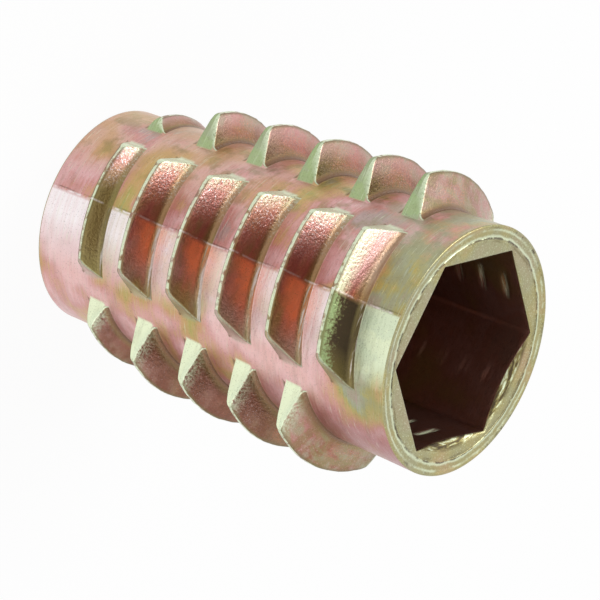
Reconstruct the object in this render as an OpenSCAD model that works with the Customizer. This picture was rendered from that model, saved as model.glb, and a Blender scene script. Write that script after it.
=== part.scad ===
// Threaded insert for wood, die cast in one piece.
//
// The insert stands on its plain end, with +Z up its axis and the hexagon socket at the top.
// +X runs through the middle of one column of fins, which is also where the two die halves part.
// Each fin is a short length of one coarse right-hand thread, broken by four slots along the body.

/* [Body] */
// Length from the plain end to the socket end
body_length = 20; // [17:0.5:25]
// Diameter of the body at the plain end, without the fins
plain_end_d = 9.68; // [9.3:0.02:10]
// Diameter of the body at the socket end, without the fins
socket_end_d = 11.06; // [10.8:0.02:11.4]
// Rounding of the plain end's outer edge
plain_edge_r = 0.1; // [0.05:0.05:0.3]
// Rounding of the socket end's outer edge
socket_edge_r = 0.06; // [0.04:0.02:0.2]

/* [Outer thread] */
// Distance along the axis from one turn of the thread to the next
thread_pitch = 2.88; // [2.6:0.02:3.4]
// Height of the first fin's middle above the plain end
first_fin_z = 2.32; // [1.6:0.02:3]
// Least distance from the last fin's middle to the socket end
last_fin_gap = 2.5; // [1.5:0.1:4]
// Diameter over the crest of the last fin
crest_d = 14; // [13:0.1:15]
// Slope of the crests towards the plain end, in degrees a side
crest_taper = 3; // [2:0.1:4]
// How far the first fin's crest is below the sloping line of the others
lead_in_drop = 0.94; // [0.5:0.02:1]
// Number of fins over which the thread rises to its full height
lead_in_fins = 6; // [3:1:8]
// Share of the lead-in's rise that each fin makes along its own length
lead_in_lift = 0.9; // [0:0.1:1]

/* [Fins] */
// Width of a fin's section where it leaves the body
fin_root_w = 0.95; // [0.7:0.01:1.2]
// Width of the flat along a fin's crest
fin_land_w = 0.22; // [0.14:0.01:0.3]
// How far a fin's crest leans towards the plain end
fin_lean = 0.1; // [0:0.01:0.14]
// Radius of the blend between a fin and the body on the socket side
near_blend_r = 0.34; // [0.15:0.01:0.4]
// Radius of the blend between a fin and the body on the plain side
far_blend_r = 0.16; // [0.1:0.01:0.3]
// Length of the first fin's root, straight across from end to end
first_fin_len = 5.94; // [5.4:0.02:6.2]
// Length of the last fin's root, straight across from end to end
last_fin_len = 6.94; // [6.4:0.02:7.1]
// Draft of the fin ends in the columns that the die halves pull straight off, in degrees
pulled_draft = 3; // [1:0.5:8]
// Draft of the fin ends in the columns on the die's parting plane, in degrees
parting_draft = 15.5; // [8:0.5:20]
// Rounding of a fin's corners between its crest and its ends
fin_corner_r = 0.6; // [0.4:0.02:0.8]

/* [Socket] */
// Distance across the flats of the hexagon socket
socket_af = 8.1; // [7.8:0.02:8.2]
// Depth of the hexagon socket
socket_depth = 8; // [5:0.5:10]
// Width of the bevel round the socket's mouth
mouth_bevel = 0.1; // [0.04:0.02:0.14]
// Turn of the socket's first flat from +X, in degrees
socket_turn = -4.4; // [-30:0.1:30]

/* [Inner thread] */
// Diameter at the crests of the inner screw thread
bore_d = 6.64; // [6:0.02:7]
// Diameter of the countersink at the plain end
countersink_d = 8.3; // [7.6:0.02:8.6]

/* [Hidden] */

FINS_PER_TURN = 4;      // one column of fins every quarter turn
FIRST_FIN_TURN = -90;   // the first fin is a quarter turn before +X
ARC_STEPS = 3;          // straight steps in each rounded edge of the body
NEAR_STEPS = 2;         // straight steps in the blend on a fin's socket side
FAR_STEPS = 1;          // straight steps in the smaller blend on its plain side
BLEND_DEPTH = 0.08;     // how far a blend's first step runs on into the body, to cross it cleanly
FIN_EMBED = 0.45;       // how far a fin's section reaches into the body
CORNER_BITE = 0.96;     // under 1, so that a rounded corner crosses its two sides cleanly
FLOOR_OVERRUN = 0.03;   // how far the lead-in to the bore passes the socket's floor
OVERRUN = 1;            // how far cutting tools pass the faces that they cut
RING_HALF_TURN = 55;    // half the turn of the ring that a fin is cut from
ROUND_FN = 96;          // fineness of round shapes
CORNER_FN = 48;         // fineness of a fin's round corners

plain_r = plain_end_d / 2;
socket_r = socket_end_d / 2;
crest_r = crest_d / 2;
bore_r = bore_d / 2;

// The fins climb in equal steps, as far up as the plain length at the socket end lets them
fin_turn_step = 360 / FINS_PER_TURN;
fin_rise = thread_pitch / FINS_PER_TURN;
fin_count = floor((body_length - last_fin_gap - first_fin_z) / fin_rise + 0.001) + 1;
last_fin_z = first_fin_z + (fin_count - 1) * fin_rise;

// Radius of the body, without fins, at a height
body_slope = (socket_r - plain_r) / body_length;
function body_r(z) = plain_r + body_slope * z;

// Height, turn and length of a fin
function fin_z(n) = first_fin_z + n * fin_rise;
function fin_turn(n) = FIRST_FIN_TURN + n * fin_turn_step;
function fin_len(n) = first_fin_len + (last_fin_len - first_fin_len) * n / (fin_count - 1);

// The crests follow a slope of their own, and the first few fall away below it as a parabola
function lead_in(n) = max(0, 1 - n / lead_in_fins);
function fin_crest_r(n) =
    crest_r - tan(crest_taper) * (last_fin_z - fin_z(n)) - lead_in_drop * pow(lead_in(n), 2);

// Rise of the crest's radius over a radian of turn, from the lead-in's parabola
function lead_in_rise(n) =
    2 * lead_in_drop * lead_in(n) / lead_in_fins * FINS_PER_TURN / (2 * PI);

// A fin that lies across the parting plane has steeper ends, so that both die halves come off it
function on_parting_plane(n) = abs(cos(fin_turn(n))) > 0.5;
function end_draft(n) = on_parting_plane(n) ? parting_draft : pulled_draft;

// Points of an arc about [x, y], from one angle to another
function arc(x, y, r, from, to) =
    [for (i = [0 : ARC_STEPS]) let (a = from + (to - from) * i / ARC_STEPS) [x + r * cos(a), y + r * sin(a)]];

// The blend between a flank and the body, from inside the body up to the flank.
// The socket side has sign 1 and the plain side -1.
// It is an arc that touches both, in straight steps, and its first step runs on into the body.
function blend(root_r, foot, r, slope, sign, steps) =
    let (
        centre_z = foot + r * tan(45 - slope / 2),
        centre_r = root_r + sign * body_slope * centre_z + r,
        points = [
            for (i = [0 : steps])
                let (a = (90 - slope) * i / steps)
                    [centre_r - r * cos(a), sign * (centre_z - r * sin(a))]
        ],
        step = points[1] - points[0]
    )
    [for (i = [0 : steps]) i == 0 ? points[0] - step * BLEND_DEPTH / step[0] : points[i]];

// Section of a fin as [radius, height], with the plain side first
module fin_section(root_r, top_r) {
    foot = fin_root_w / 2;
    land = fin_land_w / 2;
    rise = top_r - root_r;
    far_slope = atan((foot - fin_lean - land) / rise);
    near_slope = atan((foot + fin_lean - land) / rise);
    far_blend = blend(root_r, foot, far_blend_r, far_slope, -1, FAR_STEPS);
    near_blend = blend(root_r, foot, near_blend_r, near_slope, 1, NEAR_STEPS);
    land_drop = land * tan(crest_taper);
    crest = [[top_r - land_drop, -fin_lean - land], [top_r + land_drop, -fin_lean + land]];
    near_down = [for (i = [NEAR_STEPS : -1 : 0]) near_blend[i]];
    inner_r = root_r - FIN_EMBED;
    polygon(concat(
        [[inner_r, far_blend[0][1]]],
        far_blend,
        crest,
        near_down,
        [[inner_r, near_blend[0][1]]]
    ));
}

// Outline of a fin seen along the axis: drafted ends, and round corners where they meet the crest
module fin_outline(half_len, root_r, top_r, draft) {
    r = fin_corner_r;
    root_x = sqrt(pow(root_r, 2) - pow(half_len, 2));
    along = [cos(draft), -sin(draft)];
    inward = [-sin(draft), -cos(draft)];
    bite = r * CORNER_BITE;
    start = [root_x, half_len] + bite * inward;
    centre_r = top_r - bite;
    reach = start * along;
    centre = start + (sqrt(pow(reach, 2) - start * start + pow(centre_r, 2)) - reach) * along;
    touch = centre - bite * inward;
    base = [root_x, half_len] - 2 * along;
    beyond = centre * 1.4;
    side = [base, touch, centre, beyond];
    polygon(concat(side, [for (i = [3 : -1 : 0]) [side[i][0], -side[i][1]]]));
    for (y = [-1, 1])
        translate([centre[0], y * centre[1]])
            circle(r = r, $fn = CORNER_FN);
}

// One fin: a length of ring, tilted to the thread's lead and cut to the fin's outline
module fin(n) {
    z = fin_z(n);
    lift = lead_in_rise(n) * lead_in_lift;
    half_len = fin_len(n) / 2;
    low_lift = lift * half_len / body_r(z);
    root_r = body_r(z) - low_lift;
    top_r = fin_crest_r(n);
    lead = atan(thread_pitch / (2 * PI * body_r(z)));
    rotate([0, 0, fin_turn(n)])
        translate([0, 0, z])
            intersection() {
                translate([0, lift, 0])
                    rotate([lead, 0, 0])
                        rotate([0, 0, -RING_HALF_TURN])
                            rotate_extrude(angle = 2 * RING_HALF_TURN, $fn = ROUND_FN)
                                fin_section(root_r, top_r);
                linear_extrude(height = thread_pitch, center = true)
                    fin_outline(half_len, root_r, top_r, end_draft(n));
            }
}

// The tapered body, solid, with its two outer edges rounded
module barrel() {
    plain_top_r = body_r(plain_edge_r);
    socket_low_r = body_r(body_length - socket_edge_r);
    rotate_extrude($fn = ROUND_FN)
        polygon(concat(
            [[0, 0]],
            arc(plain_top_r - plain_edge_r, plain_edge_r, plain_edge_r, -90, 0),
            arc(socket_low_r - socket_edge_r, body_length - socket_edge_r, socket_edge_r, 0, 90),
            [[0, body_length]]
        ));
}

// The hexagon socket with its bevelled mouth: three slots of the same section, crossed
module socket() {
    half = socket_af / 2;
    top = body_length;
    mouth = half + mouth_bevel;
    section = [
        [half, top - socket_depth],
        [half, top - mouth_bevel],
        [mouth, top],
        [mouth, top + OVERRUN],
        [-mouth, top + OVERRUN],
        [-mouth, top],
        [-half, top - mouth_bevel],
        [-half, top - socket_depth]
    ];
    intersection_for (turn = [0 : 60 : 120])
        rotate([90, 0, socket_turn + turn])
            linear_extrude(height = 3 * socket_af, center = true)
                polygon(section);
}

// The hole for the inner screw thread, with a countersink at the plain end and a lead-in below the socket
module bore() {
    sink_r = countersink_d / 2;
    sink_h = sink_r - bore_r;
    socket_floor = body_length - socket_depth;
    lead_r = socket_af / 2 - 2 * FLOOR_OVERRUN;
    lead_h = lead_r - bore_r;
    translate([0, 0, -OVERRUN])
        cylinder(r = bore_r, h = socket_floor + 2 * OVERRUN, $fn = ROUND_FN);
    translate([0, 0, -OVERRUN])
        cylinder(r1 = sink_r + OVERRUN, r2 = bore_r, h = sink_h + OVERRUN, $fn = ROUND_FN);
    translate([0, 0, socket_floor - lead_h])
        cylinder(r1 = bore_r, r2 = lead_r + FLOOR_OVERRUN, h = lead_h + FLOOR_OVERRUN, $fn = ROUND_FN);
}

module insert_body() {
    color([0.79, 0.63, 0.5])
        difference() {
            union() {
                barrel();
                for (n = [0 : fin_count - 1])
                    fin(n);
            }
            socket();
            bore();
        }
}

insert_body();
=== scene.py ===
import math

import bmesh
import bpy
from mathutils import Matrix, Vector


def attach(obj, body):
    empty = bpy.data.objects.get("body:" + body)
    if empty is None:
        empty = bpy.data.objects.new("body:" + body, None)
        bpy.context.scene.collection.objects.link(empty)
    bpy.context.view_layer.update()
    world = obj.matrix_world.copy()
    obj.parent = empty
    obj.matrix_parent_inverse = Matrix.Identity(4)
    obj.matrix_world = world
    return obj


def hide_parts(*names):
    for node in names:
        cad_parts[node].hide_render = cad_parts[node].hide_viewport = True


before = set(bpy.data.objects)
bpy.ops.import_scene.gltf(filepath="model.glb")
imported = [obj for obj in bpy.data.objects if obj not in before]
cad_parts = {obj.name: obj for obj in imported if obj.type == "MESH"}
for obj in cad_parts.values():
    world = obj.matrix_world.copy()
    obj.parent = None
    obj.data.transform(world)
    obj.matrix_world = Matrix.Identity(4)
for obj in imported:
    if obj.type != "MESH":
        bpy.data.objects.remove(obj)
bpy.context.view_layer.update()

MM = 0.001

# ------------ sizes as in the part's source
# Lengths are in mm and angles in degrees, unless a name or a comment says otherwise.

BODY_LENGTH = 20
PLAIN_END_D = 9.68
SOCKET_END_D = 11.06
PLAIN_EDGE_R = 0.1
SOCKET_EDGE_R = 0.06
THREAD_PITCH = 2.88
FIRST_FIN_Z = 2.32
CREST_D = 14
CREST_TAPER = 3
LEAD_IN_DROP = 0.94
LEAD_IN_FINS = 6
LEAD_IN_LIFT = 0.9
FIN_ROOT_W = 0.95
FIN_LAND_W = 0.22
FIN_LEAN = 0.1
NEAR_BLEND_R = 0.34
FAR_BLEND_R = 0.16
FIRST_FIN_LEN = 5.94
LAST_FIN_LEN = 6.94
PULLED_DRAFT = 3
PARTING_DRAFT = 15.5
FIN_CORNER_R = 0.6
SOCKET_AF = 8.1
SOCKET_DEPTH = 8
MOUTH_BEVEL = 0.1
SOCKET_TURN = -4.4
BORE_D = 6.64
COUNTERSINK_D = 8.3
FIN_COUNT = 22
FINS_PER_TURN = 4
FIRST_FIN_TURN = -90

FIN_STEP_TURN = 360 / FINS_PER_TURN
LOW_Z = PLAIN_EDGE_R                    # the outer surface runs between the two rounded edges
HIGH_Z = BODY_LENGTH - SOCKET_EDGE_R
SOCKET_FLOOR_Z = BODY_LENGTH - SOCKET_DEPTH

# ------------ details that only this script makes

# the fins' crests: rounded edges, and wear that eats into them
CREST_EDGE = 0.08
CREST_WEAR = 0.03
LEAST_RISE = 0.05           # a fin's height is never taken as less than this
MOST_BLEND = 0.6            # most share of a fin's height that a blend may take
MOST_EDGE = 0.3             # most share of it that a crest's rounded edge may take
END_LIFT_AT = 0.85          # share of the half turn at which the lead-in sets the corner's height
CORNER_CLEARANCE = 0.005    # the outline's corner is drawn this far over the crest

# the cast skin, and the flash along the parting lines
SKIN_DEPTH = 0.018
FLASH_H = 0.04
FLASH_NARROWNESS = 170      # the flash fades out 1/170 of the radius to each side of its line
END_FADE = 4                # marks on the skin fade out over 1/4 mm at both ends of the body

# the end face: sunk below the rim, with a lip inside the rim and a torn seam round the socket
FACE_DROP = 0.04
RIM_LIP_R = 5.38
SEAM_CIRCLE_R = 4.92
SEAM_INNER_R = 4.86
INNER_LIP_R = 4.6
INNER_LIP_SHARE = 0.6       # how deeply it is torn, against the rim's lip and the seam
SEAM_TEAR = 0.034
SEAM_WANDER = 0.1
FACE_Z = BODY_LENGTH - FACE_DROP
HEX_TOP_Z = FACE_Z - MOUTH_BEVEL
# its rings from the rim inwards, as (radius, height over the sunk face)
RIM_RINGS = ((5.42, FACE_DROP), (RIM_LIP_R, FACE_DROP - 0.004), (5.33, 0.012), (5.26, 0), (5.1, 0))
SEAM_RINGS = ((5.02, 0), (4.97, -0.002), (4.945, 0.02), (SEAM_CIRCLE_R, FACE_DROP), (4.895, 0.02),
              (4.875, -0.004), (SEAM_INNER_R, 0))
RINGS_TO_MOUTH = 6
PLAIN_FACE_RINGS = (COUNTERSINK_D / 2, 4.3, 4.5)
ARC_STEPS = 3

# the mouth's edge is rolled in on two flats of the socket
ROLL_DEPTH = 0.25
ROLL_TURN = 145.6
ROLL_ENDS = (0.41, 0.59)    # it starts and is full at these cosines of the turn from its middle
ROLL_EASE = 2.4             # power by which it sets in across the face, up to its share at the mouth
ROLL_AT_MOUTH = 0.78
ROLL_ON_BEVEL = ((0, ROLL_AT_MOUTH), (30, 0.87), (60, 0.95), (90, 1.0))     # (angle, share of the roll)

# the inner screw thread, and the marks that its tap left on the socket's flats
INNER_PITCH = 1.25
INNER_MAJOR_R = 4.0
INNER_ROOT_FLAT = 0.16
THREAD_SLOPE = math.sqrt(3)             # of a flank in a 60 degree thread
TAP_MARK_R = 4.16
TAP_OFF_CENTRE = 0.07
TAP_TURN = -5
TAP_FADE = 6                # the marks fade out over 1/6 mm at both ends of the socket
TAP_MARK_EDGE = 40          # a mark 1/40 mm deep has its full brightness

# ------------ the mesh's lines

MERGE_GAP = 0.0005          # points nearer to each other than this become one
SLIVER = 0.0002             # and then edges shorter than this go

# columns of half a quarter turn, from the middle of a fin: shares of the fin, then steps down its end
ACROSS_FIN = (0, 0.012, 0.03, 0.1, 0.2, 0.31, 0.42, 0.53, 0.64, 0.74, 0.83, 0.9, 0.96, 1)
DOWN_END = (0, 0.013, 0.053, 0.117, 0.19, 0.4, 0.7, 1)
SLOT_LINES = 4
HALF_QUARTER = len(ACROSS_FIN) - 1 + len(DOWN_END) - 1 + SLOT_LINES
QUARTER = 2 * HALF_QUARTER
COLUMNS = FINS_PER_TURN * QUARTER
COLUMN_TURN = 360 / COLUMNS

# where the columns are evenly spaced, an offset turns them, so that one meets each corner of the socket
FIRST_COLUMN_TURN = FIRST_FIN_TURN - FIN_STEP_TURN / 2
CORNER_TURN = SOCKET_TURN + 30 - 120
CORNER_PLACE = CORNER_TURN - FIRST_COLUMN_TURN
TURN_OFFSET = CORNER_PLACE - round(CORNER_PLACE / COLUMN_TURN) * COLUMN_TURN

# rows of one pitch: the far blend, far flank, far edge, land, near edge, near flank, near blend and band
ZONE_ROWS = (4, 5, 3, 2, 3, 9, 7, 8)
ZONE_FLANK = (-1.0, -1.0, -1.0, 0.0, 1.0, 1.0, 1.0, 0.0)
PITCH_ROWS = sum(ZONE_ROWS)
ROW_ZONE = [zone for zone, count in enumerate(ZONE_ROWS) for _ in range(count)]
ROW_SHARE = [step / count for count in ZONE_ROWS for step in range(count)]
# each zone's curve, as its start, control and end among the section's points. None makes it straight
ZONE_CURVES = ((0, 1, 2), (2, None, 3), (3, 4, 5), (5, None, 6), (6, 7, 8), (8, None, 9), (9, 10, 11),
               (11, None, 12))
# on the plain band the columns even out, over a quarter of its width from each edge
BAND = len(ZONE_ROWS) - 1
ROW_LOOSE = [min(1, 4 * share, 4 * (1 - share)) if zone == BAND else 0.0
             for zone, share in zip(ROW_ZONE, ROW_SHARE)]
OUTER_TURNS = 9
TURNS_BELOW = 2             # how many of those turns lie before the first fin

# rows of one turn of the inner thread and of the tap's marks, as places along the pitch
INNER_ROWS = (-0.625, -0.47, -0.275, -0.08, 0.08, 0.275, 0.47)
MARK_ROWS = (-0.625, -0.35, -0.17, -0.08, 0.08, 0.17, 0.35)

# what each point is told for the material: its place on a fin, zone 0 outside, 1 on a ring or 2 inside,
# and cut, which is a tap mark's brightness in the socket and the share of the roll on the rings
MARKS = ("up_fin", "flank", "fin_end", "fin_number", "across_fin", "zone", "cut")
OUTSIDE, ON_RING, INSIDE = 0, 1, 2


# ------------ node trees written as expressions

class Num:
    """An output socket that Python arithmetic can use: an expression on it adds Math nodes."""

    def __init__(self, socket):
        self.socket = socket
        self.tree = socket.id_data

    def math(self, operation, *values):
        node = Tree(self.tree).node("ShaderNodeMath", {"operation": operation}, dict(enumerate(values)))
        return Num(node.outputs[0])

    def __add__(self, other):
        return self.math("ADD", self, other)

    def __sub__(self, other):
        return self.math("SUBTRACT", self, other)

    def __rsub__(self, other):
        return self.math("SUBTRACT", other, self)

    def __mul__(self, other):
        return self.math("MULTIPLY", self, other)

    def __truediv__(self, other):
        return self.math("DIVIDE", self, other)

    def __rtruediv__(self, other):
        return self.math("DIVIDE", other, self)

    def __pow__(self, other):
        return self.math("POWER", self, other)

    def __neg__(self):
        return self.math("MULTIPLY", self, -1)

    __radd__ = __add__
    __rmul__ = __mul__

    def above(self, other):
        return self.math("GREATER_THAN", self, other)

    def smallest(self, other):
        return self.math("MINIMUM", self, other)

    def largest(self, other):
        return self.math("MAXIMUM", self, other)

    def clamp(self, low=0, high=1):
        return self.largest(low).smallest(high)

    def size(self):
        return self.math("ABSOLUTE", self)

    def whole(self):
        return self.math("ROUND", self)

    def floor(self):
        return self.math("FLOOR", self)

    def root(self):
        return self.math("SQRT", self.largest(0))

    def sin(self):
        return self.math("SINE", self)

    def cos(self):
        return self.math("COSINE", self)

    def tan(self):
        return self.math("TANGENT", self)

    def asin(self):
        return self.math("ARCSINE", self.clamp(-1, 1))

    def acos(self):
        return self.math("ARCCOSINE", self.clamp(-1, 1))

    def atan2(self, other):
        return self.math("ARCTAN2", self, other)

    def in_radians(self):
        return self * math.radians(1)

    def towards(self, other, share):
        return self + (other - self) * share

    def ramp(self, start, end):
        """0 at start, 1 at end, straight between and level beyond, either way up."""
        return ((self - start) * (1 / (end - start))).clamp()

    def beside(self, centre, fall):
        """1 at the centre, falling to 0 on both sides of it, by fall for each unit away."""
        return (1 - (self - centre).size() * fall).clamp()


class Tree:
    """A node tree, with one method that adds any node."""

    def __init__(self, tree):
        self.tree = tree

    def node(self, kind, settings=None, inputs=None):
        node = self.tree.nodes.new(kind)
        for name, value in (settings or {}).items():
            if name == "stops":
                ramp = node.color_ramp
                while len(ramp.elements) < len(value):
                    ramp.elements.new(1)
                for element, (place, colour) in zip(ramp.elements, value):
                    element.position = place
                    element.color = (*colour, 1)
            elif name == "items":
                while len(node.index_switch_items) < value:
                    node.index_switch_items.new()
            else:
                setattr(node, name, value)
        for key, value in (inputs or {}).items():
            socket = node.inputs[key]
            if isinstance(value, Num):
                self.tree.links.new(value.socket, socket)
            else:
                socket.default_value = value
        return node

    def number(self, kind, settings=None, inputs=None, output=0):
        return Num(self.node(kind, settings, inputs).outputs[output])

    def pick(self, index, values):
        """The value at a whole-number index."""
        items = {1 + place: value for place, value in enumerate(values)}
        settings = {"data_type": "FLOAT", "items": len(values)}
        return self.number("GeometryNodeIndexSwitch", settings, {0: index, **items})


# ------------ strips of mesh, by Geometry Nodes

class Shell(Tree):
    """Strips of mesh, each a grid of rows and columns bent to a rule, merged into one closed shell."""

    def __init__(self, name):
        super().__init__(bpy.data.node_groups.new(name, "GeometryNodeTree"))
        self.tree.interface.new_socket("Geometry", in_out="OUTPUT", socket_type="NodeSocketGeometry")
        self.entry = self.tree.nodes.new("NodeGroupInput")
        self.values = {}
        self.strips = []

    def size(self, name, value):
        """A named input of the tree."""
        socket = self.tree.interface.new_socket(name, in_out="INPUT", socket_type="NodeSocketFloat")
        socket.default_value = value
        self.values[socket.identifier] = float(value)
        return Num(self.entry.outputs[name])

    def strip(self, rows, bend):
        """A grid of rows + 1 by COLUMNS + 1 points. bend gives radius, turn, height and marks of each."""
        grid = self.node("GeometryNodeMeshGrid", None, {
            "Size X": 1.0, "Size Y": 1.0, "Vertices X": COLUMNS + 1, "Vertices Y": rows + 1})
        place = self.node("ShaderNodeSeparateXYZ", None, {0: self.number("GeometryNodeInputPosition")})
        column = ((Num(place.outputs[0]) + 0.5) * COLUMNS).whole()
        row = ((Num(place.outputs[1]) + 0.5) * rows).whole()
        radius, turn, height, marks = bend(row, column)
        angle = turn.in_radians()
        point = self.number("ShaderNodeCombineXYZ", None, {
            0: radius * angle.cos() * MM, 1: radius * angle.sin() * MM, 2: height * MM})
        mesh = Num(grid.outputs["Mesh"])
        for name, value in marks.items():
            mesh = self.number("GeometryNodeStoreNamedAttribute",
                               {"data_type": "FLOAT", "domain": "POINT"},
                               {"Geometry": mesh, "Name": name, "Value": value})
        mesh = self.number("GeometryNodeSetPosition", None, {"Geometry": mesh, "Position": point})
        self.strips.append(mesh)

    def waves(self, radius, turn, height, per_mm, seed):
        """Noise from 0 to 1 at a place on the insert, the same for every strip that meets there."""
        angle = turn.in_radians()
        where = self.number("ShaderNodeCombineXYZ", None, {
            0: radius * angle.cos() + seed, 1: radius * angle.sin() + seed, 2: height + seed})
        return self.number("ShaderNodeTexNoise", None, {
            "Vector": where, "Scale": per_mm, "Detail": 3.0, "Roughness": 0.6})

    def finish(self, material):
        join = self.node("GeometryNodeJoinGeometry")
        for mesh in self.strips:
            self.tree.links.new(mesh.socket, join.inputs[0])
        mesh = self.number("GeometryNodeMergeByDistance", None, {
            "Geometry": Num(join.outputs[0]), "Distance": MERGE_GAP * MM})
        mesh = self.number("GeometryNodeRealizeInstances", None, {"Geometry": mesh})
        mesh = self.number("GeometryNodeSetMaterial", None, {"Geometry": mesh, "Material": material})
        leave = self.tree.nodes.new("NodeGroupOutput")
        self.tree.links.new(mesh.socket, leave.inputs[0])


# ------------ rules of shape that need no named input

def even_turn(column):
    """Turn of a column where the lines are evenly spaced, which puts one on each corner of the socket."""
    return column * COLUMN_TURN + (TURN_OFFSET + FIRST_COLUMN_TURN)


def hexagon(turn):
    """Radius of a hexagon that is 1 from its middle to its flats."""
    fold = turn - (SOCKET_TURN - 30)
    fold = fold - (fold * (1 / 60)).floor() * 60 - 30
    return 1 / fold.in_radians().cos()


def rolled(turn):
    """1 in the middle of the two flats whose mouth edge is rolled in, 0 at every corner and other flat."""
    flats = ((turn - SOCKET_TURN) * math.radians(3)).cos().size()
    return flats * (turn - ROLL_TURN).in_radians().cos().ramp(*ROLL_ENDS)


def body_radius(z):
    """Radius of the body, without fins, at a height given as a plain number."""
    return PLAIN_END_D / 2 + (SOCKET_END_D - PLAIN_END_D) / 2 / BODY_LENGTH * z


def arc_rings(radius, z, size, start, end):
    """Rings of a rounded edge, as (radius, share of hexagon, height, share of the roll)."""
    angles = (math.radians(start + (end - start) * step / ARC_STEPS) for step in range(ARC_STEPS + 1))
    return [(radius + size * math.cos(angle), 0.0, z + size * math.sin(angle), 0.0) for angle in angles]


def socket_end_rings():
    """Rings of the socket's end, from the body's side over the sunk face to the mouth's bevel."""
    rings = arc_rings(body_radius(HIGH_Z) - SOCKET_EDGE_R, HIGH_Z, SOCKET_EDGE_R, 0, 90)
    rings += [(radius, 0.0, FACE_Z + over, 0.0) for radius, over in RIM_RINGS + SEAM_RINGS]
    mouth = SOCKET_AF / 2 + MOUTH_BEVEL
    # from the seam's circle to the hexagon each ring is part of the way, so it crosses neither
    for step in range(1, RINGS_TO_MOUTH):
        share = step / RINGS_TO_MOUTH
        circle = SEAM_INNER_R + (mouth - SEAM_INNER_R) * share
        rings.append((circle, share * mouth / circle, FACE_Z, share ** ROLL_EASE * ROLL_AT_MOUTH))
    for angle, roll in ROLL_ON_BEVEL:
        radius = SOCKET_AF / 2 + MOUTH_BEVEL * (1 - math.sin(math.radians(angle)))
        rings.append((radius, 1.0, HEX_TOP_Z + MOUTH_BEVEL * math.cos(math.radians(angle)), roll))
    return rings


def plain_end_rings():
    """Rings of the plain end, from the countersink to the body's side."""
    rings = [(radius, 0.0, 0.0, 0.0) for radius in PLAIN_FACE_RINGS]
    return rings + arc_rings(body_radius(LOW_Z) - PLAIN_EDGE_R, LOW_Z, PLAIN_EDGE_R, -90, 0)


def plain_marks(value, zone, cut):
    """Marks of a point that is on no fin. value is any number of the strip."""
    marks = {name: value * 0 for name in MARKS}
    marks["zone"] = value * 0 + zone
    marks["cut"] = cut
    return marks


# ------------ the insert's shell

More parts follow.
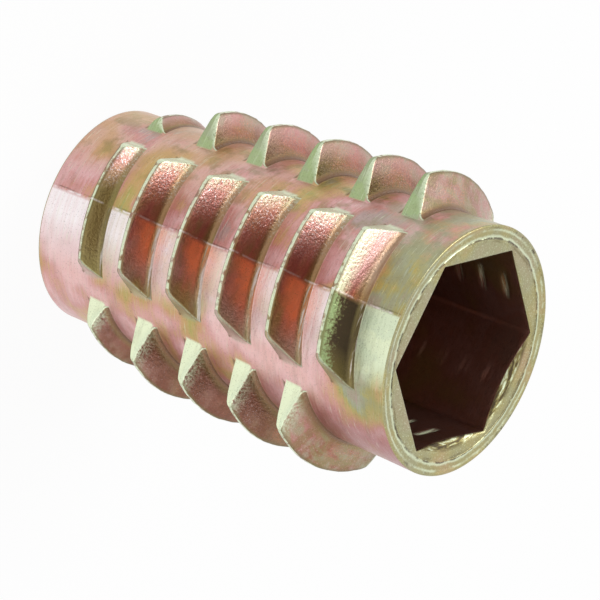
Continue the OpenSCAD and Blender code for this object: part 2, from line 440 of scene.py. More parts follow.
class Fin:
    """The fin that a row and column of the outer strip belong to. Lengths are in mm, turns in radians."""

    def __init__(self, shell, row, column):
        quarter = (column / QUARTER).floor()
        level = (row / PITCH_ROWS).floor()
        self.shell = shell
        self.line = row - level * PITCH_ROWS
        self.number = quarter + level * FINS_PER_TURN - FINS_PER_TURN * TURNS_BELOW
        self.there = (self.number + 0.5).above(0) * (FIN_COUNT - 0.5 - self.number).above(0)

        # how many columns away its middle is, and on which side
        self.place = column - quarter * QUARTER - HALF_QUARTER
        self.side = self.place.above(-0.5) * 2 - 1
        self.step = self.place.size()

        self.z = shell.first_z + self.number * shell.pitch / FINS_PER_TURN
        last_z = shell.first_z + (FIN_COUNT - 1) * shell.pitch / FINS_PER_TURN
        taper = math.tan(math.radians(CREST_TAPER))
        lead = (1 - self.number / LEAD_IN_FINS).largest(0)
        self.top_r = shell.crest_r - (last_z - self.z) * taper - lead * lead * LEAD_IN_DROP
        self.root_r = shell.body_r(self.z)
        self.rise = (self.top_r - self.root_r).largest(LEAST_RISE)
        # how fast the lead-in's crest climbs, for each radian of turn
        self.lift = lead * (2 * LEAD_IN_DROP / LEAD_IN_FINS * FINS_PER_TURN / (2 * math.pi) * LEAD_IN_LIFT)
        self.set_ends()

    def set_ends(self):
        """The fin's outline as seen along the axis: drafted ends, with a round corner up to the crest."""
        growth = (LAST_FIN_LEN - FIRST_FIN_LEN) / (FIN_COUNT - 1) / 2
        half_len = self.number * growth + FIRST_FIN_LEN / 2
        odd = self.number - (self.number / 2).floor() * 2
        self.draft = (odd * (PARTING_DRAFT - PULLED_DRAFT) + PULLED_DRAFT).in_radians()
        half_turn = (half_len / self.root_r).asin()
        self.reach = self.root_r * (half_turn + self.draft).sin()
        end_lift = self.lift * self.side * (half_turn * END_LIFT_AT).sin()
        corner = self.shell.corner_r
        self.centre_r = self.top_r + end_lift + CORNER_CLEARANCE - corner
        self.centre_turn = ((self.reach - corner) / self.centre_r).asin() - self.draft
        self.touch_r = (self.centre_r * self.centre_r + corner * corner
                        + self.centre_r * corner * 2 * (self.centre_turn + self.draft).sin()).root()

    def end_turn(self, radius):
        """Turn from the fin's middle to its end, at a radius."""
        corner = self.shell.corner_r
        on_arc = ((radius * radius + self.centre_r * self.centre_r - corner * corner)
                  / (radius * self.centre_r * 2)).acos() + self.centre_turn
        on_end = (self.reach / radius).asin() - self.draft
        return on_end.towards(on_arc, radius.above(self.touch_r))

    def section_points(self):
        """Control points of the section, as (height along the axis, share of the rise)."""
        lean = self.shell.lean
        foot = self.shell.root_w / 2
        land = self.shell.land_w / 2
        far_w = foot - lean - land
        near_w = foot + lean - land
        far_slope = far_w.atan2(self.rise)
        near_slope = near_w.atan2(self.rise)
        far_d = (math.pi / 4 - far_slope / 2).tan() * FAR_BLEND_R
        near_d = (math.pi / 4 - near_slope / 2).tan() * NEAR_BLEND_R
        far_k = (far_d * far_slope.cos() / self.rise).smallest(MOST_BLEND)
        near_k = (near_d * near_slope.cos() / self.rise).smallest(MOST_BLEND)
        edge = (CREST_EDGE / self.rise).smallest(MOST_EDGE)
        return [
            (-foot - far_d, 0.0),
            (-foot, 0.0),
            (far_k * far_w - foot, far_k),
            ((1 - edge) * far_w - foot, 1 - edge),
            (-lean - land, 1.0),
            (CREST_EDGE - lean - land, 1.0),
            (land - lean - CREST_EDGE, 1.0),
            (land - lean, 1.0),
            (foot - (1 - edge) * near_w, 1 - edge),
            (foot - near_k * near_w, near_k),
            (foot, 0.0),
            (foot + near_d, 0.0),
            (self.shell.pitch - foot - far_d, 0.0),
        ]

    def section(self, zone):
        """Height along the axis and share of the rise of this row, on its zone's curve."""
        points = self.section_points()
        share = self.shell.pick(self.line, ROW_SHARE)

        def along(part):
            starts, controls, ends = [], [], []
            for start, control, end in ZONE_CURVES:
                starts.append(points[start][part])
                ends.append(points[end][part])
                controls.append((starts[-1] + ends[-1]) * 0.5 if control is None else points[control][part])
            start, control, end = (self.shell.pick(zone, values) for values in (starts, controls, ends))
            return start * (1 - share) ** 2 + control * (share * (1 - share) * 2) + end * share * share

        return along(0), along(1)


class InsertShell(Shell):
    """The insert's shell: its named inputs and the rules of its strips."""

    def __init__(self):
        super().__init__("insert shell")
        self.length = self.size("Body length", BODY_LENGTH)
        self.plain_r = self.size("Plain end radius", PLAIN_END_D / 2)
        self.socket_r = self.size("Socket end radius", SOCKET_END_D / 2)
        self.pitch = self.size("Thread pitch", THREAD_PITCH)
        self.first_z = self.size("First fin height", FIRST_FIN_Z)
        self.crest_r = self.size("Last crest radius", CREST_D / 2)
        self.root_w = self.size("Fin root width", FIN_ROOT_W)
        self.land_w = self.size("Fin land width", FIN_LAND_W)
        self.lean = self.size("Fin lean", FIN_LEAN)
        self.corner_r = self.size("Fin corner radius", FIN_CORNER_R)
        self.flash_h = self.size("Flash height", FLASH_H)
        self.flat = self.size("Socket half width", SOCKET_AF / 2)
        self.bore_r = self.size("Bore radius", BORE_D / 2)
        self.thread_r = self.size("Inner thread radius", INNER_MAJOR_R)

    def body_r(self, z):
        return self.plain_r + (self.socket_r - self.plain_r) / self.length * z

    def outer_thread(self, row, column):
        """Bends the outer strip, which holds the body's side and all the fins."""
        fin = Fin(self, row, column)
        zone = self.pick(fin.line, ROW_ZONE)
        offset, part_up = fin.section(zone)

        # shares of the way across the fin, down its end, and on to the middle of the slot
        last_across = len(ACROSS_FIN) - 1
        last_down = len(DOWN_END) - 1
        across = self.pick(fin.step.smallest(last_across), ACROSS_FIN)
        down = self.pick((fin.step - last_across).clamp(0, last_down), DOWN_END)
        slot = ((fin.step - (last_across + last_down)) * (1 / SLOT_LINES)).clamp()
        up = part_up * (1 - down)

        core = self.body_r(fin.z + offset)
        top = (fin.top_r - core + fin.lift * (fin.centre_turn * fin.side * across).sin()).largest(0)
        angle = fin.end_turn(core + top * part_up * (1 - down)) * across * math.degrees(1)
        angle = fin.side * angle.towards(fin.side * TURN_OFFSET + FIN_STEP_TURN / 2, slot)
        loose = self.pick(fin.line, ROW_LOOSE).largest(1 - fin.there)
        angle = angle.towards(fin.place * COLUMN_TURN + TURN_OFFSET, loose)
        turn = angle + fin.number * FIN_STEP_TURN + FIRST_FIN_TURN
        height = (fin.z + angle / 360 * self.pitch + offset).clamp(LOW_Z, HIGH_Z)
        smooth_r = self.body_r(height) + up * top * fin.there

        # the cast skin, the wear of the crests and the flash
        inside = ((height - LOW_Z) * END_FADE).clamp() * ((HIGH_Z - height) * END_FADE).clamp()
        skin = self.waves(smooth_r, turn, height, per_mm=0.9, seed=20) * SKIN_DEPTH
        wear = self.waves(smooth_r, turn, height, per_mm=4.5, seed=40).ramp(0.42, 0.7) * CREST_WEAR
        ragged = self.waves(smooth_r, turn, height, per_mm=1.6, seed=60).ramp(0.35, 0.65)
        flash = turn.in_radians().sin().beside(0, FLASH_NARROWNESS) * (1 - part_up * fin.there)
        worn = up.ramp(0.8, 1) * fin.there
        radius = smooth_r + (flash * ragged * self.flash_h - skin - wear * worn) * inside

        marks = {
            "up_fin": up * fin.there,
            "flank": self.pick(zone, ZONE_FLANK) * fin.there * (1 - down),
            "fin_end": down.above(0.001) * (1 - slot.above(0.001)) * part_up.ramp(0.05, 0.25) * fin.there,
            "fin_number": fin.number * fin.there,
            "across_fin": fin.side * across,
            "zone": height * 0 + OUTSIDE,
            "cut": height * 0,
        }
        return radius, turn, height, marks

    def ring_strip(self, rings):
        """Rows and rule of a strip of rings, each (radius, share of hexagon, height, share of the roll)."""
        radii, sixes, heights, rolls = zip(*rings)

        def bend(row, column):
            turn = even_turn(column)
            circle = self.pick(row, radii)
            radius = circle * (self.pick(row, sixes) * (hexagon(turn) - 1) + 1)
            height = self.pick(row, heights)
            at_socket = height.above(BODY_LENGTH - 1)
            roll = self.pick(row, rolls) * rolled(turn)
            torn = self.waves(5, turn, height * 0, per_mm=1.3, seed=80)
            fine = self.waves(radius, turn, height * 0, per_mm=4, seed=30)
            seam = radius.beside(SEAM_CIRCLE_R, fall=14) * at_socket
            lip = radius.beside(RIM_LIP_R, fall=9) * at_socket * torn.ramp(0.46, 0.58)
            inner = circle.beside(INNER_LIP_R, fall=5) * at_socket * INNER_LIP_SHARE
            tear = (seam + lip + inner).clamp() * fine.ramp(0.3, 0.7) * SEAM_TEAR
            height = height - tear - roll * ROLL_DEPTH
            # every ring near the seam drifts with it, less with distance, so the rings stay in order
            wander = radius.beside(SEAM_CIRCLE_R, fall=6) * at_socket * (torn - 0.5) * SEAM_WANDER
            return radius + wander, turn, height, plain_marks(height, ON_RING, roll)

        return len(rings) - 1, bend

    def screw_strip(self, places, bottom, top, radius_at, roll_depth=0):
        """Rows and rule of a strip that follows the inner thread's right-hand screw between two heights.

        radius_at gives a point's radius and its mark cut, from its height, its turn, its place along the
        pitch and the height at which the strip ends there.
        """
        def bend(row, column):
            turn = even_turn(column)
            level = (row / len(places)).floor()
            local = self.pick(row - level * len(places), places)
            height = (level - 1) * INNER_PITCH + turn / 360 * INNER_PITCH + local + bottom
            end = top - rolled(turn) * roll_depth
            height = height.clamp(bottom, end)
            radius, cut = radius_at(height, turn, local, end)
            return radius, turn, height, plain_marks(height, INSIDE, cut)

        turns = math.ceil((top - bottom) / INNER_PITCH) + 3
        return turns * len(places), bend

    def marked_flat(self, height, turn, local, end):
        """Radius of the socket's wall, and how deep the tap has marked it."""
        tap = (turn - TAP_TURN).in_radians().cos() * TAP_OFF_CENTRE + TAP_MARK_R
        groove = tap - (local.size() - INNER_ROOT_FLAT / 2).largest(0) * THREAD_SLOPE
        fade = ((height - SOCKET_FLOOR_Z) * TAP_FADE).clamp() * ((end - height) * TAP_FADE).clamp()
        wall = hexagon(turn) * self.flat
        radius = wall.largest(wall.towards(groove, fade))
        return radius, ((radius - wall) * TAP_MARK_EDGE).clamp()

    def inner_thread(self, height, turn, local, end):
        """Radius of the threaded bore, widened by a cone at both ends. Nothing is marked in it."""
        countersink = COUNTERSINK_D / 2 - height
        lead = height - (SOCKET_FLOOR_Z - INNER_MAJOR_R)
        groove = self.thread_r - (local.size() - INNER_ROOT_FLAT / 2).largest(0) * THREAD_SLOPE
        return self.bore_r.largest(countersink).largest(lead).largest(groove), height * 0


def build_shell(material):
    """All strips: the body's side, the socket's end, the inside downwards, and the plain end."""
    shell = InsertShell()
    shell.strip(OUTER_TURNS * PITCH_ROWS, shell.outer_thread)
    shell.strip(*shell.ring_strip(socket_end_rings()))
    shell.strip(*shell.screw_strip(MARK_ROWS, SOCKET_FLOOR_Z, HEX_TOP_Z, shell.marked_flat, ROLL_DEPTH))
    floor_rings = [(SOCKET_AF / 2, 1.0, SOCKET_FLOOR_Z, 0.0), (INNER_MAJOR_R, 0.0, SOCKET_FLOOR_Z, 0.0)]
    shell.strip(*shell.ring_strip(floor_rings))
    shell.strip(*shell.screw_strip(INNER_ROWS, 0, SOCKET_FLOOR_Z, shell.inner_thread))
    shell.strip(*shell.ring_strip(plain_end_rings()))
    shell.finish(material)
    return shell


def make_insert(material):
    shell = build_shell(material)
    holder = bpy.data.objects.new("insert_shell_source", bpy.data.meshes.new("insert_shell_source"))
    bpy.context.scene.collection.objects.link(holder)
    modifier = holder.modifiers.new("shell", "NODES")
    modifier.node_group = shell.tree
    for identifier, value in shell.values.items():
        modifier[identifier] = value
    graph = bpy.context.evaluated_depsgraph_get()
    mesh = bpy.data.meshes.new_from_object(holder.evaluated_get(graph), depsgraph=graph)
    holder.modifiers.remove(modifier)
    bpy.data.objects.remove(holder)
    work = bmesh.new()
    work.from_mesh(mesh)
    bmesh.ops.dissolve_degenerate(work, dist=SLIVER * MM, edges=work.edges[:])
    bmesh.ops.recalc_face_normals(work, faces=work.faces[:])
    if work.calc_volume(signed=True) < 0:
        bmesh.ops.reverse_faces(work, faces=work.faces[:])
    for face in work.faces:
        face.smooth = True
    open_edges = sum(1 for edge in work.edges if not edge.is_manifold)
    volume = work.calc_volume(signed=True) / MM ** 3
    print("insert shell:", len(work.verts), "points,", len(work.faces), "faces,", open_edges, "open edges,",
          round(volume, 2), "mm3")
    work.to_mesh(mesh)
    work.free()
    mesh.name = "insert"
    insert = bpy.data.objects.new("insert", mesh)
    bpy.context.scene.collection.objects.link(insert)
    return insert


# ------------ materials

def film_colour(red, green, blue):
    """A colour given as 0 to 255, as a screen shows it, in the renderer's own linear values."""
    return tuple(((c / 255 + 0.055) / 1.055) ** 2.4 for c in (red, green, blue))


ROSE = film_colour(210, 150, 144)
PALE_PINK = film_colour(226, 180, 180)
TAN_GOLD = film_colour(206, 166, 116)
YELLOW_GREEN = film_colour(184, 172, 100)
GREY_GREEN = film_colour(168, 174, 146)
GREY_MAUVE = film_colour(186, 160, 156)
RED_BROWN = film_colour(170, 96, 74)
ORANGE_RED = film_colour(255, 142, 96)
PLUM = film_colour(150, 78, 74)
GOLD = film_colour(202, 168, 108)
MOSS = film_colour(132, 122, 70)
FIN_GREEN = film_colour(162, 188, 134)
LIME_HIGHLIGHT = film_colour(246, 255, 218)
OLIVE = film_colour(112, 100, 58)
FACE_GREEN = film_colour(160, 153, 110)
BARE_ZINC_AND_GLINT = film_colour(228, 240, 208)
HIGHLIGHT_WHITE = film_colour(255, 247, 248)
ROSE_HIGHLIGHT = film_colour(250, 210, 204)
GOLD_HIGHLIGHT = film_colour(246, 212, 168)
DARK_BROWN = film_colour(120, 76, 54)
BLACK_BROWN = film_colour(58, 42, 30)

# the film's own colours, from thin to thick
FILM_STOPS = ((0.0, GREY_MAUVE), (0.14, ROSE), (0.28, PALE_PINK), (0.42, ROSE), (0.56, TAN_GOLD),
              (0.7, YELLOW_GREEN), (0.82, GREY_GREEN), (1.0, GREY_MAUVE))
GRAIN_HEIGHT = 0.035
PAPER_GREY = 0.9
PAPER_WHITE_SHARE = 0.94    # what is left of 1 keeps the shadow
WORLD_LIGHT = 0.6           # its strength for rays that only bring light, where all others see 1


def new_material(name):
    material = bpy.data.materials.new(name)
    material.use_nodes = True
    material.node_tree.nodes.clear()
    return material


def stripe(distance, width):
    """1 where a distance is 0, falling to 0 at the width to both sides."""
    return (1 - distance.size() / width).clamp()


class Plating(Tree):
    """Yellow chromate on a zinc casting: the film's own tint, with coats of other tints over it in order,
    among them painted highlights and painted shade.

    A coat's share is a product of masks from 0 to 1, and most end in a number that says how strong the
    coat is. The two numbers of a ramp are where its mask starts and where it is full. They are in mm for
    x, y, height and low_of_line and a fin's number for fin. across goes from -1 to 1, the rest from 0 to 1.
    """

    def __init__(self, tree):
        super().__init__(tree)
        self.where = self.number("ShaderNodeTexCoord", None, None, 3)
        place = self.node("ShaderNodeSeparateXYZ", None, {0: self.where})
        self.x, self.y, self.height = (Num(axis) / MM for axis in place.outputs)
        self.radius = (self.x * self.x + self.y * self.y).root()
        # how far this is in y from its half's parting line, above 0 on the low side
        self.low_of_line = self.y * (self.x.above(0) * 2 - 1)

        self.up_fin, flank, self.fin_end, self.fin, self.across, zone, self.cut = (
            self.mark(name) for name in MARKS)
        self.near_flank = flank.ramp(0.3, 0.9)
        self.far_flank = flank.ramp(-0.3, -0.9)
        self.low_side = self.across.ramp(0.0, 0.06)
        # 1 in the two columns that a parting line crosses
        self.at_line = self.fin - (self.fin / 2).floor() * 2
        self.last = self.fin.ramp(FIN_COUNT - 1.6, FIN_COUNT - 1.2)
        self.ring = 1 - (zone - ON_RING).size().clamp()
        self.inside = zone.ramp(1.2, 1.8)
        self.skin = (1 - zone).clamp()
        self.between_fins = (self.skin - self.up_fin).ramp(0.6, 1)
        self.collar = self.height.ramp(17.3, 18.6) * self.skin
        self.face = self.ring * self.height.ramp(BODY_LENGTH - 0.2, BODY_LENGTH - 0.1)

        self.patches = self.cloud(270, detail=2, seed=0.31)
        self.blotches = self.cloud(900, detail=3, seed=1.7)
        self.tears = self.cloud(1500, detail=3, seed=2.9)
        self.grain = self.cloud(7800, detail=2, seed=4.1)
        self.glint_noise = self.cloud(11500, detail=2, seed=3.3)
        self.specks = self.cloud(15000, detail=1, seed=7.7)
        self.streaks = self.cloud(1, detail=4, seed=5.3, per_axis=(420, 420, 9000))
        self.sweep = self.cloud(1, detail=3, seed=8.3, per_axis=(450, 450, 5200))

        # a painted highlight: the pale band just below each parting line on the body's sides
        near_line = (self.low_of_line.ramp(0, 0.15) * self.low_of_line.ramp(3.2, 1.1)
                     * self.x.size().ramp(2, 3))
        self.painted_sheen = (near_line * self.between_fins * (0.72 + self.streaks.ramp(0.3, 0.6) * 0.28)
                      * self.patches.ramp(0.05, 0.4))
        socket = self.inside * self.height.above(SOCKET_FLOOR_Z - 0.5)
        self.tap_mark = self.cut * socket * self.x.ramp(-4, -2)
        self.tint = self.film()

    def mark(self, name):
        return Num(self.node("ShaderNodeAttribute", {"attribute_name": name}).outputs["Fac"])

    def cloud(self, per_m, detail, seed, per_axis=(1, 1, 1)):
        """Noise from 0 to 1, with so many waves to the metre. per_axis multiplies them along x, y and z."""
        moved = self.number("ShaderNodeMapping", None, {
            "Vector": self.where, "Location": (seed, seed * 2, seed * 3), "Scale": per_axis})
        return self.number("ShaderNodeTexNoise", None, {
            "Vector": moved, "Scale": per_m, "Detail": detail, "Roughness": 0.6})

    def film(self):
        """The film's own tint, which goes from rose through gold to green as it thickens."""
        thickness = (0.36 + (self.patches - 0.5) * 1.6 + (self.blotches - 0.5) * 0.4
                     + (self.streaks - 0.5) * 0.36 + self.collar * self.y.ramp(5, 3.6) * 0.4
                     + self.ring * 0.45 + self.up_fin * 0.1
                     + self.y.ramp(1, -3) * self.height.ramp(15, 9) * 0.05)
        return self.number("ShaderNodeValToRGB", {"stops": FILM_STOPS}, {0: thickness.clamp()})

    def coat(self, share, colour):
        """Lays a colour over the tint, as far as the share says."""
        self.tint = self.number("ShaderNodeMix", {"data_type": "RGBA"},
                                {0: share, 6: self.tint, 7: (*colour, 1)}, 2)

    def coat_skin(self):
        # a thicker, golden film in the slots between the columns, most of all near the plain end
        slot = (((self.x - self.y) / self.radius * math.sqrt(0.5)).size().ramp(0.84, 0.97)
                * self.skin * (1 - self.up_fin))
        self.coat(slot * self.patches.ramp(0.34, 0.52) * self.height.ramp(14, 5) * 0.85, GOLD)
        self.coat(slot * self.blotches.ramp(0.5, 0.64) * 0.5, MOSS)
        off_fins = (self.skin - self.up_fin).clamp()
        self.coat(off_fins * self.y.ramp(-3.6, -4.4) * self.height.ramp(8, 5) * 0.55, GOLD)
        self.coat(self.collar * self.y.ramp(5, 3.6) * self.blotches.ramp(0.36, 0.6) * 0.55, FACE_GREEN)
        upper = self.skin * self.y.ramp(-1, -2.8) * self.height.ramp(15.4, 17)
        self.coat(upper * self.blotches.ramp(0.34, 0.54) * 0.6, GREY_GREEN)

        # the low side: a painted highlight in bright rose past the pale band, and painted shade in plum
        # where it turns under near the socket end
        lit_low_band = self.low_of_line.ramp(1.4, 2.6) * self.low_of_line.ramp(4.6, 3.7) * self.between_fins
        self.coat(lit_low_band * (1 - self.collar) * self.patches.ramp(0.62, 0.42) * 0.6, ROSE_HIGHLIGHT)
        self.coat(self.skin * self.low_of_line.ramp(4.2, 5) * self.height.ramp(13, 16) * 0.7, PLUM)

        # a painted highlight, pale on the low side of each parting line, in part golden, and greener on the
        # collar
        self.coat(self.painted_sheen * (1 - self.collar), HIGHLIGHT_WHITE)
        golden = self.height.ramp(4, 7) * self.height.ramp(14, 11) * self.blotches.ramp(0.36, 0.56)
        self.coat(self.painted_sheen * golden * 0.45, GOLD_HIGHLIGHT)
        self.coat((self.painted_sheen * self.collar * 1.8).clamp(), BARE_ZINC_AND_GLINT)
        self.coat(self.painted_sheen * self.collar * self.blotches.ramp(0.58, 0.46) * 0.9, LIME_HIGHLIGHT)
        self.coat(self.ring * (0.5 + self.blotches * 0.5), FACE_GREEN)

    def coat_drive_side(self):
        # the side of each fin that faces the socket: red-brown in its middle, with darker sweeps, partly
        # the film's tint and partly painted shade
        middle = 1 - (self.across + 0.05).size() * 0.6
        self.coat(self.near_flank * middle * 0.9, RED_BROWN)
        self.coat(self.near_flank * middle * self.sweep.ramp(0.48, 0.62) * 0.6, PLUM)
        self.coat(self.near_flank * middle * self.sweep.ramp(0.48, 0.36) * 0.45, MOSS)

        # orange past the parting line, but not on a column's first fin nor on the very last fin
        first = self.fin.ramp(4, 3.5) * self.at_line
        uneven = (self.blotches - 0.5) * 0.7
        orange = (self.near_flank * self.low_side * (self.across + uneven).ramp(0.85, 0.3)
                  * (self.up_fin + uneven).ramp(0.9, 0.45))
        orange = orange * self.at_line * (1 - self.last) * (1 - first)
        self.coat(orange * (0.8 + self.sweep.ramp(0.4, 0.6) * 0.2), ORANGE_RED)
        self.coat(self.near_flank * self.across.ramp(0.55, 0.98) * 0.7, OLIVE)
        self.coat(self.near_flank * (1 - self.at_line) * self.patches.ramp(0.3, 0.6) * 0.5, OLIVE)
        self.coat(self.near_flank * first * self.across.ramp(-0.9, -0.5) * 0.85, MOSS)

        # rose towards the other end, with painted glints
        upper = self.across.ramp(-0.2, -0.75) * self.near_flank
        self.coat(upper * 0.6, ROSE)
        self.coat(upper * self.glint_noise.ramp(0.54, 0.64) * self.at_line * 0.8, HIGHLIGHT_WHITE)

    def coat_side_columns(self):
        # brown on the low column, pink on the upper one, and mottled there and on the last fins of both,
        # with painted glints in pale pink
        side_fin = self.near_flank * (1 - self.at_line)
        late = self.fin.ramp(16.6, 17.6)
        low_fin = self.y.ramp(0, 2) * (1 - late)
        self.coat(side_fin * low_fin * (0.5 + self.blotches.ramp(0.4, 0.6) * 0.4), DARK_BROWN)
        self.coat(side_fin * self.y.ramp(0, -2) * self.up_fin.ramp(0.4, 0.8) * (1 - late) * 0.4, PALE_PINK)
        self.coat(side_fin * late * self.y.ramp(1, -1) * 0.35, PALE_PINK)
        self.coat(side_fin * late * self.blotches.ramp(0.48, 0.6) * 0.5, MOSS)
        self.coat(side_fin * late * self.sweep.ramp(0.54, 0.42) * 0.5, FACE_GREEN)
        mottled = side_fin * (1 - low_fin * 0.7)
        raised = (self.up_fin.ramp(0.3, 0.9) + late * 0.5).clamp()
        self.coat(mottled * self.blotches.ramp(0.52, 0.4) * raised * 0.5, GREY_GREEN)
        self.coat(mottled * self.glint_noise.ramp(0.55, 0.68) * self.patches.ramp(0.25, 0.55) * 0.4, PALE_PINK)

    def coat_fin_tips(self):
        # painted glints on the grains at the fins' upper ends
        tip_glints = self.across.ramp(-0.72, -0.96) * self.near_flank
        self.coat(tip_glints * self.grain.ramp(0.35, 0.6) * 0.75, BARE_ZINC_AND_GLINT)

    def coat_last_fin(self):
        # pale rose and green above the parting line, the green a painted highlight on its grains
        pale = self.near_flank * (1 - self.low_side) * self.last * self.at_line
        self.coat(pale * self.across.ramp(-0.05, -0.3) * 0.7, PALE_PINK)
        self.coat(pale * self.up_fin.ramp(0.45, 0.9) * self.grain.ramp(0.25, 0.5) * 0.85, LIME_HIGHLIGHT)
        self.coat(pale * self.sweep.ramp(0.5, 0.62) * self.up_fin.ramp(0.7, 0.3) * 0.5, PLUM)

        # painted shade, nearly black, on its root's side below the line, with a rough edge to the green
        below = self.near_flank * self.low_side * self.last * self.at_line
        rough_up = self.up_fin + (self.grain - 0.5) * 0.9 + (self.blotches - 0.5) * 0.8
        self.coat(below * 0.9, OLIVE)
        self.coat(below * rough_up.ramp(0.5, 0.85) * 0.75, FIN_GREEN)
        self.coat(below * self.across.ramp(1, 0.6) * rough_up.ramp(0.8, 0.5) * 0.95, BLACK_BROWN)

    def coat_roots(self):
        # painted shade at each root: broad olive on one half, a thin dark line on the other, with bits of
        # painted highlight at its foot
        past_line = self.low_side * self.at_line
        self.coat(self.near_flank * self.up_fin.ramp(0.3, 0.1) * (1 - past_line) * 0.6, MOSS)
        root = self.near_flank * self.up_fin.ramp(0.16, 0.05)
        self.coat(root * (1 - self.at_line) * 0.7, DARK_BROWN)
        self.coat(root * self.low_side * self.at_line * (0.4 + self.sweep.ramp(0.4, 0.55) * 0.5), OLIVE)
        foot = self.near_flank * self.up_fin.ramp(0.06, 0.02) * self.low_side * self.at_line
        self.coat(foot * self.sweep.ramp(0.5, 0.58) * 0.4, HIGHLIGHT_WHITE)

    def coat_far_sides_and_ends(self):
        # painted shade on the far flanks; painted highlights on the upper end faces, lime on the low
        # column's, while the lower end faces are green; a painted highlight along the corner of flank and
        # end
        self.coat(self.far_flank * 0.75, OLIVE)
        upper_end = self.fin_end * self.across.ramp(0, -0.1)
        low_end = self.fin_end * self.across.ramp(0, 0.1)
        self.coat(upper_end * 0.9, BARE_ZINC_AND_GLINT)
        self.coat(low_end * self.at_line * 0.4, GREY_GREEN)
        self.coat(low_end * (1 - self.at_line) * 0.9, FIN_GREEN)
        self.coat(low_end * (1 - self.at_line) * self.blotches.ramp(0.5, 0.6) * 0.6, GREY_GREEN)
        self.coat(upper_end * self.y.ramp(1, 2.5) * 0.8, LIME_HIGHLIGHT)
        corner = (self.near_flank * self.across.size().ramp(0.976, 0.992)
                  * (1 - self.low_side * self.at_line * 0.6))
        self.coat(corner * self.grain.ramp(0.3, 0.45) * 0.85, BARE_ZINC_AND_GLINT)

    def coat_crests(self):
        # a thin bright line, partly bare worn metal and partly a painted glint, broken here and there, with
        # painted shade in olive beside it and in its gaps
        crest = self.up_fin.ramp(0.99, 0.998)
        worn = self.cloud(2600, detail=3, seed=6.6).ramp(0.36, 0.5)
        self.coat(self.up_fin.ramp(0.9, 0.97) * (1 - crest) * (1 - self.fin_end) * 0.65, OLIVE)
        self.coat(crest * (1 - worn) * 0.6, OLIVE)
        self.coat(crest * worn * 0.95, BARE_ZINC_AND_GLINT)

    def coat_flash(self):
        # a painted highlight along the flash of the parting lines, with painted shade in a dark line beside
        # it
        drift = (self.tears - 0.5) * 0.1
        line = self.y - drift
        faint = self.skin * (1 - self.fin_end) * (1 - self.near_flank * 0.6)
        self.coat(stripe(line, 0.065) * faint * self.tears.ramp(0.4, 0.52) * 0.9, HIGHLIGHT_WHITE)
        self.coat(stripe(line + 0.07, 0.05) * faint * self.blotches.ramp(0.44, 0.62) * 0.55, BLACK_BROWN)

        # the torn seam of the end face, and the lip inside its rim
        seam = self.radius - SEAM_CIRCLE_R - drift * 2.2
        self.coat(stripe(seam - 0.08, 0.1) * self.face * 0.75, BARE_ZINC_AND_GLINT)
        self.coat(stripe(seam, 0.07) * self.face * self.tears.ramp(0.44, 0.52) * 0.9, BLACK_BROWN)
        self.coat(stripe(seam + 0.12, 0.09) * self.face * self.blotches.ramp(0.5, 0.6) * 0.7, OLIVE)
        lip = self.radius - RIM_LIP_R - drift * 1.5
        self.coat(stripe(lip + 0.08, 0.08) * self.face * self.blotches.ramp(0.42, 0.56) * 0.7, BARE_ZINC_AND_GLINT)
        torn_lip = stripe(lip, 0.1) * self.face * self.tears.ramp(0.5, 0.56)
        self.coat(torn_lip * self.patches.ramp(0.44, 0.52) * 0.9, BLACK_BROWN)
        self.coat(self.face * self.specks.ramp(0.6, 0.72) * 0.4, BARE_ZINC_AND_GLINT)

    def coat_mouth(self):
        # the rolled edge, streaked along its length
        edge = self.ring * self.cut.ramp(0.12, 0.4)
        around = self.number("ShaderNodeCombineXYZ", None, {
            0: self.x / self.radius * 5, 1: self.y / self.radius * 5, 2: self.radius * 7})
        along_edge = self.number("ShaderNodeTexNoise", None, {
            "Vector": around, "Scale": 1.0, "Detail": 3.0, "Roughness": 0.6})
        self.coat(edge * 0.85, MOSS)
        self.coat(edge * along_edge.ramp(0.54, 0.44) * 0.85, BLACK_BROWN)
        self.coat(edge * along_edge.ramp(0.54, 0.64) * 0.8, BARE_ZINC_AND_GLINT)

    def coat_inside(self):
        # the socket and the bore, darkened brown as painted shade, with bright marks where the tap ran past
        self.coat(self.inside * 0.85, DARK_BROWN)
        self.coat(self.inside * self.patches.ramp(0.5, 0.65) * 0.25, MOSS)
        self.coat(self.tap_mark * self.streaks.ramp(0.4, 0.56) * self.y.ramp(-3, 1) * 0.95, BARE_ZINC_AND_GLINT)
        self.coat(self.tap_mark * self.streaks.ramp(0.46, 0.56) * self.y.ramp(1, -3) * 0.7, BARE_ZINC_AND_GLINT)

    def coat_wear(self):
        # scratches, dull smears and dark specks
        lines = self.cloud(1, detail=2, seed=9.2, per_axis=(1100, 1100, 24000)).ramp(0.6, 0.74)
        self.coat(lines * self.skin * 0.5 * (1 - self.near_flank), BARE_ZINC_AND_GLINT)
        smears = self.cloud(1, detail=3, seed=6.1, per_axis=(700, 700, 2600)).ramp(0.5, 0.72)
        self.coat(smears * self.skin * (1 - self.near_flank) * 0.18 * (1 - self.painted_sheen), OLIVE)
        self.coat(self.specks.ramp(0.4, 0.28) * 0.25, BLACK_BROWN)

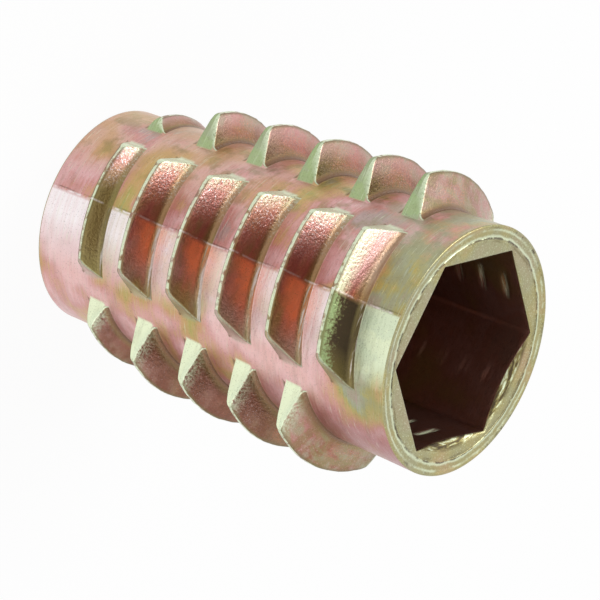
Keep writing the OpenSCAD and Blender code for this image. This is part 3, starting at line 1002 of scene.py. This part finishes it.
    def finish(self):
        """The shader, with the tint as it stands."""
        rough = (0.24 + self.grain * 0.2 + self.skin * 0.04 + self.inside * 0.06
                 + self.tap_mark * (0.1 + self.y.ramp(0, 2) * 0.2))
        relief = (self.grain * (0.35 + self.near_flank * 0.9) + self.streaks * 0.35 + self.specks * 0.25
                  + self.tears * self.face)
        bump = self.number("ShaderNodeBump", None, {
            "Strength": 0.6, "Distance": GRAIN_HEIGHT * MM, "Height": relief})
        shader = self.number("ShaderNodeBsdfPrincipled", None, {
            "Base Color": self.tint, "Metallic": 0.92, "Roughness": rough, "Normal": bump,
            "Coat Weight": 0.25, "Coat Roughness": 0.22})
        self.node("ShaderNodeOutputMaterial", None, {0: shader})


def yellow_zinc():
    material = new_material("yellow_zinc")
    plating = Plating(material.node_tree)
    plating.coat_skin()
    plating.coat_drive_side()
    plating.coat_side_columns()
    plating.coat_fin_tips()
    plating.coat_last_fin()
    plating.coat_roots()
    plating.coat_far_sides_and_ends()
    plating.coat_crests()
    plating.coat_flash()
    plating.coat_mouth()
    plating.coat_inside()
    plating.coat_wear()
    plating.finish()
    return material


def seen_directly(tree):
    """1 for rays from the camera, mirrored or passed through, and 0 for those that only bring light."""
    rays = tree.node("ShaderNodeLightPath")
    camera, mirrored, through = (Num(rays.outputs[name]) for name in (
        "Is Camera Ray", "Is Glossy Ray", "Is Transmission Ray"))
    return camera.largest(mirrored).largest(through)


def floor_paper():
    """White paper that the camera and reflections see as white, and that keeps a shadow."""
    material = new_material("floor_paper")
    tree = Tree(material.node_tree)
    paper = tree.number("ShaderNodeBsdfDiffuse", None, {"Color": (PAPER_GREY, PAPER_GREY, PAPER_GREY, 1)})
    white = tree.number("ShaderNodeEmission", None, {"Color": (1, 1, 1, 1), "Strength": 1.0})
    mix = tree.number("ShaderNodeMixShader", None, {
        0: seen_directly(tree) * PAPER_WHITE_SHARE, 1: paper, 2: white})
    tree.node("ShaderNodeOutputMaterial", None, {0: mix})
    return material


# ------------ camera, floor and lights

CAMERA_TURN = 3.59
CAMERA_UP = 34.91
CAMERA_ROLL = 21.15
CAMERA_OFFSET = (8.34, -3.77, 196.46)   # mm along its right, its up and its back
LENS_MM = 265.2
SENSOR_MM = 36
CLIP_START_M = 0.01
CLIP_END_M = 10
FLOOR_HALF_M = 1.5


def direction(turn, up):
    """The unit vector that points so many degrees round and up."""
    turn, up = math.radians(turn), math.radians(up)
    return Vector((math.cos(up) * math.cos(turn), math.cos(up) * math.sin(turn), math.sin(up)))


def camera_axes():
    """Right, up and back of the camera, rolled so that the insert's axis runs to its right and down."""
    back = direction(CAMERA_TURN, CAMERA_UP)
    roll = math.radians(CAMERA_ROLL)
    axis = Vector((0, 0, 1))
    axis = (axis - axis.dot(back) * back).normalized()
    right = axis * math.cos(roll) + back.cross(axis) * math.sin(roll)
    return right, back.cross(right), back


def make_camera():
    right, up, back = camera_axes()
    data = bpy.data.cameras.new("camera")
    data.lens = LENS_MM
    data.sensor_width = SENSOR_MM
    data.clip_start = CLIP_START_M
    data.clip_end = CLIP_END_M
    camera = bpy.data.objects.new("camera", data)
    bpy.context.scene.collection.objects.link(camera)
    camera.rotation_euler = Matrix((right, up, back)).transposed().to_euler()
    camera.location = (right * CAMERA_OFFSET[0] + up * CAMERA_OFFSET[1] + back * CAMERA_OFFSET[2]) * MM
    bpy.context.scene.camera = camera


def make_floor():
    half = FLOOR_HALF_M
    corners = [(-half, -half, 0), (half, -half, 0), (half, half, 0), (-half, half, 0)]
    mesh = bpy.data.meshes.new("floor")
    mesh.from_pydata(corners, [], [(0, 1, 2, 3)])
    mesh.materials.append(floor_paper())
    floor = bpy.data.objects.new("floor", mesh)
    bpy.context.scene.collection.objects.link(floor)


def soft_lamp(name, turn, up, away, size, watts):
    """A round lamp that faces the insert's middle. away and size are in metres."""
    data = bpy.data.lights.new(name, "AREA")
    data.shape = "DISK"
    data.size = size
    data.energy = watts
    lamp = bpy.data.objects.new(name, data)
    bpy.context.scene.collection.objects.link(lamp)
    towards_lamp = direction(turn, up)
    lamp.location = Vector((0, 0, BODY_LENGTH / 2 * MM)) + towards_lamp * away
    lamp.rotation_euler = towards_lamp.to_track_quat("Z", "Y").to_euler()


def make_world():
    world = bpy.data.worlds.new("studio")
    world.use_nodes = True
    bpy.context.scene.world = world
    world.node_tree.nodes.clear()
    tree = Tree(world.node_tree)
    strength = WORLD_LIGHT + seen_directly(tree) * (1 - WORLD_LIGHT)
    background = tree.number("ShaderNodeBackground", None, {"Color": (1, 1, 1, 1), "Strength": strength})
    tree.node("ShaderNodeOutputWorld", None, {0: background})


scene = bpy.context.scene
scene.view_settings.view_transform = "Standard"
make_camera()
make_floor()
make_world()
soft_lamp("upper_side", turn=-105, up=52, away=0.3, size=0.2, watts=0.36)
soft_lamp("fill", turn=60, up=25, away=0.35, size=0.3, watts=0.2)

insert = make_insert(yellow_zinc())
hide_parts("insert_body")
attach(insert, "root")
